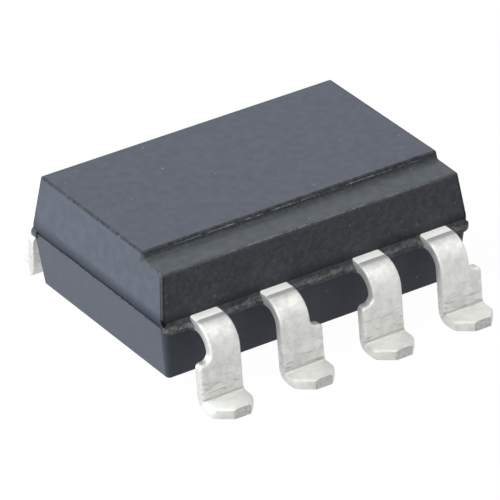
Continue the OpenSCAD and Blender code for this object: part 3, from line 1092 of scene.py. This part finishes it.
def flash_strip(name, row, sizes, housing, materials):
    """The ragged strip of flash along one wall: an upright edge under a sloping top, with
    short tabs along the leads' sides, and a wandering band of painted highlight at its crest."""
    half_lead = Millimetres(bpy.context.scene.package_leads).thickness / 2
    half = BODY_END - CORNER_GAP
    start, end = (-half + sizes.short, half) if row < 0 else (-half, half - sizes.short)
    wall = housing.width / 2
    low = housing.parting - half_lead - sizes.drop
    high = housing.parting + half_lead
    middle = low + (high - low) * THINNING_LEVEL
    sides = lead_sides(row)
    section = flash_section()
    bm = bmesh.new()
    rings = []
    for i in range(sizes.steps + 1):
        x = start + (end - start) * i / sizes.steps
        past = max(0.0, 1.0 - min(x - start, end - x) / sizes.end_taper)
        full = 1.0 - past * past
        thinned = THIN_END + (1 - THIN_END) * full
        out = flash_reach(x, sides, sizes) * full
        ring = []
        for share_out, up in section:
            y = wall + (out if share_out > 0 else sizes.out) * share_out
            z = middle + (low + (high - low) * up - middle) * thinned
            free = min(1.0, max(0.0, share_out) / RAGGED_FULL)
            relief = ragged(Vector((x, row * y, z)) / sizes.ripple_size)
            push = sizes.ripple * free * full * relief
            lift = RAGGED_LIFT * push * (1 - up)
            ring.append(bm.verts.new((x, row * (y + push), z + lift)))
        rings.append(ring)
    for ring, band in zip(rings, skin(bm, rings)):
        x = ring[0].co.x
        crest, width = (wandering(x, row, course) for course in (CREST_HEIGHT, CREST_WIDTH))
        for face, (share_out, up) in zip(band, section):
            # the band about the crest is a painted highlight
            highlighted = share_out > 0 and abs(up - crest) < width
            face.material_index = CREST_HIGHLIGHT if highlighted else STRIP
    return smooth_object(name, bm, materials, SHARP_FLASH)


def burr(name, start, end, thickness, material):
    """A fine uneven burr along a straight line between two points."""
    start, end = Vector(start), Vector(end)
    along = (end - start).normalized()
    side = along.orthogonal().normalized()
    other = along.cross(side)
    count = max(LEAST_BURR_STEPS, round((end - start).length / BURR_STEP))
    angles = [2 * math.pi * k / BURR_SIDES for k in range(BURR_SIDES)]
    bm = bmesh.new()
    rings = []
    for i in range(count + 1):
        middle = start.lerp(end, i / count)
        swell = sum((depth * noise.noise(middle * often) for depth, often in BURR_WAVES),
                    BURR_MIDDLE)
        taper = min(1.0, BURR_TAPER * i / count, BURR_TAPER * (count - i) / count + BURR_END)
        radius = thickness * max(BURR_END, min(1.0, max(BURR_LEAST, swell)) * taper)
        spokes = [side * math.cos(a) + other * math.sin(a) for a in angles]
        rings.append([bm.verts.new(middle + spoke * radius) for spoke in spokes])
    skin(bm, rings)
    return smooth_object(name, bm, [material], SHARP_BURR)


def burr_lines(housing, sizes):
    """Each burr's start, end and thickness: along the step's two edges, and along the
    lower half's lips at the ends."""
    half = BODY_END - housing.end_lean
    ledge = BODY_TOP - housing.step_height - housing.ledge_fall
    rise = (ledge - housing.parting) / (BODY_TOP - housing.parting)
    outer = housing.width / 2 - housing.front_lean * rise
    thick, thin = sizes.burr, sizes.lip_burr
    lines = {}
    for name, wall, edge, (gap, out, below) in (
            ("burr_riser", housing.step_y, BODY_TOP, RISER_BURR),
            ("burr_ledge", outer, ledge, LEDGE_BURR)):
        y, z = -wall - out * thick, edge - below * thick
        lines[name] = ((gap - half, y, z), (half - gap, y, z), thick)
    lip_x = BODY_END - housing.lower_inset - thin / 2
    lip_y = housing.width / 2 - housing.lower_corner
    for name, x in (("burr_left", -lip_x), ("burr_right", lip_x)):
        lines[name] = ((x, -lip_y, housing.parting), (x, lip_y, housing.parting), thin)
    return lines


# ---- stage ----

# name, place and size in metres, radiant power in watts, colour
LIGHTS = [
    ("left softbox", (-0.165, 0.058, 0.1), (0.29, 0.235), 0.62, (0.9, 0.99, 1.0)),
    ("top softbox", (0.15, -0.1, 0.28), (0.2, 0.2), 0.22, (1.0, 1.0, 1.0)),
]
SENSOR_WIDTH = 36.0
CLIP_RANGE = (0.01, 10.0)
FLOOR_SIZE = 3000.0    # half its width in millimetres
FLOOR_HEIGHT = -0.001  # in millimetres, just under the soles
FLOOR_PAINT = 0.25     # its own grey
FLOOR_GLOW = 1.14      # strength of the white that it shows


def add_camera(scene, settings):
    """A long lens that looks at the target, turned about its own axis."""
    data = bpy.data.cameras.new("Camera")
    data.lens = settings.lens
    data.sensor_width = SENSOR_WIDTH
    data.clip_start, data.clip_end = CLIP_RANGE
    camera = bpy.data.objects.new("Camera", data)
    scene.collection.objects.link(camera)
    a, e = settings.azimuth, settings.elevation
    back = Vector((math.sin(a) * math.cos(e), -math.cos(a) * math.cos(e), math.sin(e)))
    camera.location = Vector(settings.target) + back * settings.distance
    facing = (-back).to_track_quat("-Z", "Y").to_matrix()
    right, up = facing.col[0].copy(), facing.col[1].copy()
    c, s = math.cos(settings.roll), math.sin(settings.roll)
    facing.col[0] = right * c + up * s
    facing.col[1] = up * c - right * s
    camera.rotation_euler = facing.to_euler()
    scene.camera = camera


def seen_directly(tree):
    """1 for rays from the camera and for reflected and transmitted ones."""
    paths = tree.nodes.new("ShaderNodeLightPath").outputs
    return maths(tree, "MAXIMUM", paths["Is Camera Ray"],
                 maths(tree, "MAXIMUM", paths["Is Glossy Ray"],
                       paths["Is Transmission Ray"]))


def add_floor(settings):
    """A wide white floor that keeps a faint shadow."""
    bm = bmesh.new()
    bmesh.ops.create_grid(bm, x_segments=1, y_segments=1, size=FLOOR_SIZE)
    for vert in bm.verts:
        vert.co.z = FLOOR_HEIGHT
    material = bpy.data.materials.new("white floor")
    material.use_nodes = True
    tree = material.node_tree
    tree.nodes.clear()
    paint = add_node(tree, "ShaderNodeBsdfDiffuse", {"Color": rgba([FLOOR_PAINT] * 3)})
    glow = add_node(tree, "ShaderNodeEmission", {"Color": WHITE, "Strength": FLOOR_GLOW})
    share_seen = maths(tree, "MULTIPLY", seen_directly(tree), settings.whiteness)
    mix = add_node(tree, "ShaderNodeMixShader",
                   {0: share_seen, 1: paint.outputs[0], 2: glow.outputs[0]})
    add_node(tree, "ShaderNodeOutputMaterial", {"Surface": mix.outputs[0]})
    floor = new_object("floor", bm, [material])


def add_world(scene, settings):
    """A white surrounding that lights the part evenly and shows white behind it."""
    world = bpy.data.worlds.new("Studio")
    world.use_nodes = True
    scene.world = world
    tree = world.node_tree
    tree.nodes.clear()
    strength = ramp(tree, seen_directly(tree), 0.0, 1.0, settings.ambient, 1.0)
    glow = add_node(tree, "ShaderNodeBackground", {"Color": WHITE, "Strength": strength})
    add_node(tree, "ShaderNodeOutputWorld", {"Surface": glow.outputs[0]})


def add_light(name, place, size, power, tint):
    """A rectangular softbox that faces the part."""
    data = bpy.data.lights.new(name, "AREA")
    data.shape = "RECTANGLE"
    data.size, data.size_y = size
    data.energy = power
    data.color = tint
    light = bpy.data.objects.new(name, data)
    bpy.context.scene.collection.objects.link(light)
    light.location = place
    light.rotation_euler = Vector(place).to_track_quat("Z", "Y").to_euler()


# ---- operators ----

class PACKAGE_OT_housing(bpy.types.Operator):
    """Builds the two halves of the moulded housing"""

    bl_idname = "package.housing"
    bl_label = "Housing"

    def execute(self, context):
        sizes = Millimetres(context.scene.package_housing)
        finish = context.scene.package_finish
        # in the order of the upper half's slots
        upper = [
            epoxy("satin epoxy", finish.epoxy, rough=0.42, mottle=0.12, specks=0.05,
                  depth=1, mottle_size=300),
            epoxy("eroded epoxy", finish.epoxy_eroded, rough=0.6, mottle=0.35, specks=0.3,
                  depth=6, mottle_size=150),
            # painted shade on the upright rounded edges
            epoxy("smooth epoxy", finish.epoxy_edge, rough=0.6, mottle=0.2, specks=0.02,
                  depth=1, shine=0.12),
            epoxy("worn epoxy", finish.epoxy_worn, rough=0.6, mottle=0.25, specks=0.1,
                  depth=3, shine=0.15),
            epoxy("ledge epoxy", finish.epoxy_ledge, rough=0.45, mottle=0.18, specks=0.1,
                  depth=2, mottle_size=300),
            # painted shade on the rounded edges round the top
            epoxy("rolled epoxy", finish.epoxy_rolled, rough=0.6, mottle=0.5, specks=0.1,
                  depth=3, mottle_size=150, shine=0.15),
        ]
        # the lower half: the satin compound painted darker, a painted shade
        lower = [epoxy("lower epoxy", Vector(finish.epoxy) * LOWER_PAINTED_SHADE, rough=0.42,
                       mottle=0.08, specks=0.04, depth=2, shine=0.25)]
        for piece in (upper_half(sizes, upper), lower_half(sizes, lower)):
            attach(piece, "root")
            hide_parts("body")
        return {"FINISHED"}


class PACKAGE_OT_flash(bpy.types.Operator):
    """Builds the ragged flash between the leads and the burrs at the mould's joints"""

    bl_idname = "package.flash"
    bl_label = "Flash"

    def execute(self, context):
        sizes = Millimetres(context.scene.package_flash)
        housing = Millimetres(context.scene.package_housing)
        finish = context.scene.package_finish
        # in the order of the flash's slots
        strip = [epoxy("flash epoxy", finish.epoxy_flash, rough=0.55, mottle=0.55,
                       specks=0.2, depth=6, mottle_size=180, parting_shade_and_dulling=0.4),
                 # painted highlight along the crest
                 epoxy("crest epoxy", finish.epoxy_crest, rough=0.5, mottle=0.5,
                       specks=0.3, depth=6, mottle_size=120, parting_shade_and_dulling=0.3)]
        step = epoxy("burr epoxy", finish.epoxy_burr, rough=0.6, mottle=0.3, specks=0.2,
                     depth=4, parting_shade_and_dulling=0.0)
        lip = epoxy("lip epoxy", finish.epoxy_ledge, rough=0.6, mottle=0.4, specks=0.1,
                    depth=4, parting_shade_and_dulling=0.0)
        pieces = [flash_strip(name, row, sizes, housing, strip)
                  for name, row in (("flash_front", -1), ("flash_back", 1))]
        for name, (start, end, thickness) in burr_lines(housing, sizes).items():
            material = step if thickness == sizes.burr else lip
            pieces.append(burr(name, start, end, thickness, material))
        for piece in pieces:
            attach(piece, "root")
        return {"FINISHED"}


class PACKAGE_OT_leads(bpy.types.Operator):
    """Bends the eight leads from their blanks"""

    bl_idname = "package.leads"
    bl_label = "Leads"

    def execute(self, context):
        sizes = Millimetres(context.scene.package_leads)
        housing = Millimetres(context.scene.package_housing)
        finish = context.scene.package_finish
        # in the order of a lead's slots
        materials = [
            tin_plating("tin plating", finish.tin, finish.tin_shade, rough=0.6,
                        metallic=1.0),
            cut_metal(finish.cut),
            # painted light on the stems' tops
            tin_plating("blasted tin", finish.tin_blasted, finish.tin_blasted, rough=0.85,
                        metallic=1.0),
            # painted light on the feet
            tin_plating("foot tin", finish.tin_foot, Vector(finish.tin_foot) * FOOT_SHADE,
                        rough=0.7, metallic=0.6),
            # painted shade for the creases, the shoulder's start and the stems' sides
            tin_plating("dull tin", finish.tin_dull, finish.tin_dull, rough=0.7,
                        metallic=0.6),
        ]
        for name in LEADS:
            piece = build_lead(name, sizes, housing, materials)
            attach(piece, "root")
            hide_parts(name)
        return {"FINISHED"}


class PACKAGE_OT_sealed(bpy.types.Operator):
    """Finishes the pieces that are sealed inside the housing"""

    bl_idname = "package.sealed"
    bl_label = "Sealed pieces"

    def execute(self, context):
        finish = context.scene.package_finish
        paste = soft_metal("silver paste", finish.paste, rough=0.5, pit=10 * MICRON)
        gold = soft_metal("gold wire", finish.gold, rough=0.25, pit=5 * MICRON)
        finishes = {
            "inner_mould": filled_resin(finish.resin),
            "emitter_chip": crystal("emitter crystal", finish.emitter),
            "detector_chip": crystal("silicon", finish.silicon),
            "emitter_attach": paste, "detector_attach": paste,
            "emitter_wire": gold, "detector_wire": gold,
        }
        for name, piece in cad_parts.items():
            material = finishes.get(name.rsplit("_", 1)[0])
            if material:
                for place in piece.material_slots:
                    place.material = material
        return {"FINISHED"}


class PACKAGE_OT_stage(bpy.types.Operator):
    """Sets the camera, the soft studio light and the pale floor"""

    bl_idname = "package.stage"
    bl_label = "Stage"

    def execute(self, context):
        scene = context.scene
        settings = scene.package_stage
        add_camera(scene, settings)
        add_floor(settings)
        add_world(scene, settings)
        for light in LIGHTS:
            add_light(*light)
        scene.view_settings.view_transform = "Standard"
        return {"FINISHED"}


# ---- panel and registration ----

OPERATORS = [PACKAGE_OT_housing, PACKAGE_OT_flash, PACKAGE_OT_leads, PACKAGE_OT_sealed,
             PACKAGE_OT_stage]
SETTINGS = {"package_housing": HousingSettings, "package_flash": FlashSettings,
            "package_leads": LeadSettings, "package_finish": FinishSettings,
            "package_stage": StageSettings}


class PACKAGE_PT_panel(bpy.types.Panel):
    """Lists the package's pieces and their settings"""

    bl_label = "Package"
    bl_idname = "PACKAGE_PT_panel"
    bl_space_type = "VIEW_3D"
    bl_region_type = "UI"
    bl_category = "Package"

    def draw(self, context):
        for operator in OPERATORS:
            self.layout.operator(operator.bl_idname)
        for name, group in SETTINGS.items():
            box = self.layout.box()
            for key in group.__annotations__:
                box.prop(getattr(context.scene, name), key)


def register():
    """Registers the settings, the operators and the panel."""
    for name, group in SETTINGS.items():
        bpy.utils.register_class(group)
        setattr(bpy.types.Scene, name, PointerProperty(type=group))
    for operator in OPERATORS:
        bpy.utils.register_class(operator)
    bpy.utils.register_class(PACKAGE_PT_panel)


def unregister():
    """Takes back what register did."""
    bpy.utils.unregister_class(PACKAGE_PT_panel)
    for operator in reversed(OPERATORS):
        bpy.utils.unregister_class(operator)
    for name, group in SETTINGS.items():
        delattr(bpy.types.Scene, name)
        bpy.utils.unregister_class(group)


def main():
    """Builds every piece and the stage."""
    register()
    for operator in OPERATORS:
        space, name = operator.bl_idname.split(".")
        getattr(getattr(bpy.ops, space), name)()


if __name__ == "__main__":
    main()
